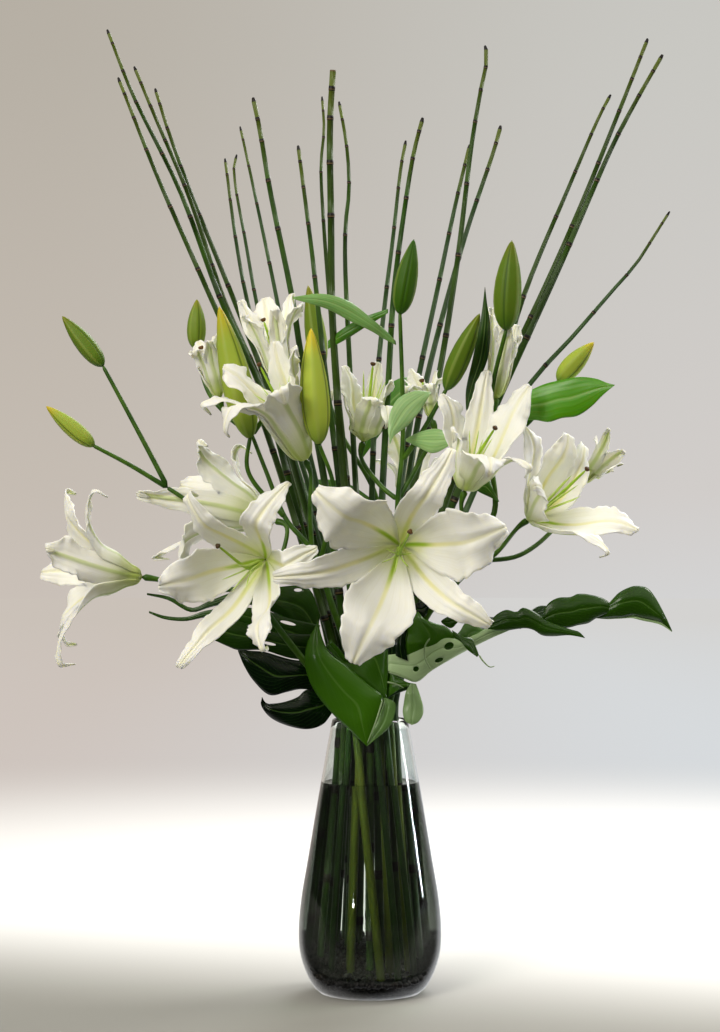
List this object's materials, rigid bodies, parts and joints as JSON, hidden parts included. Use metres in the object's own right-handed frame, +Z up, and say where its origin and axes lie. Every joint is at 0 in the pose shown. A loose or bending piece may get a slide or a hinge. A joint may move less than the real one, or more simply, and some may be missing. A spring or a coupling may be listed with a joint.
{
  "type": "lilies in a vase",
  "caption": "Clear glass vase holding white lilies, jointed horsetail reeds and cut monstera leaves, standing in water over dark grit.",
  "frame": {"origin": "centre of the vase's base, on the surface it stands on", "axes": "+Z up along the vase's axis, -Y towards the front of the arrangement, +X to the right as seen from the front"},
  "size_m": [0.628, 0.3367, 0.9623],
  "materials": {
    "glass": "clear, polished",
    "water": "clear water, faintly green",
    "grit": "dark grit, matt",
    "horsetail": "deep green stem, satin",
    "lily_green": "green stem, bud and leaf, satin",
    "petal": "white petal, soft satin",
    "pistil": "pale green, satin",
    "monstera": "dark green leaf, waxy"
  },
  "bodies": {
    "root": {"vase": "glass", "water": "water", "grit": "grit", "horsetail_01": "horsetail", "horsetail_02": "horsetail", "horsetail_03": "horsetail", "horsetail_04": "horsetail", "horsetail_05": "horsetail", "horsetail_06": "horsetail", "horsetail_07": "horsetail", "horsetail_08": "horsetail", "horsetail_09": "horsetail", "horsetail_10": "horsetail", "horsetail_11": "horsetail", "horsetail_12": "horsetail", "horsetail_13": "horsetail", "horsetail_14": "horsetail", "horsetail_15": "horsetail", "horsetail_16": "horsetail", "horsetail_17": "horsetail", "horsetail_18": "horsetail", "horsetail_19": "horsetail", "horsetail_20": "horsetail", "horsetail_21": "horsetail", "stalk_left": "lily_green", "stalk_upper_left": "lily_green", "stalk_middle": "lily_green", "stalk_right": "lily_green", "stalk_back": "lily_green", "lily_01": "petal", "pistil_01": "pistil", "lily_02": "petal", "pistil_02": "pistil", "lily_03": "petal", "pistil_03": "pistil", "lily_04": "petal", "pistil_04": "pistil", "lily_05": "petal", "pistil_05": "pistil", "lily_06": "petal", "pistil_06": "pistil", "lily_07": "petal", "pistil_07": "pistil", "lily_08": "petal", "pistil_08": "pistil", "lily_09": "petal", "pistil_09": "pistil", "lily_10": "petal", "pistil_10": "pistil", "lily_11": "petal", "pistil_11": "pistil", "lily_12": "petal", "pistil_12": "pistil", "lily_13": "petal", "pistil_13": "pistil", "lily_14": "petal", "pistil_14": "pistil", "monstera_left": "monstera", "monstera_front": "monstera", "monstera_right": "monstera"}
  },
  "joints": []
}
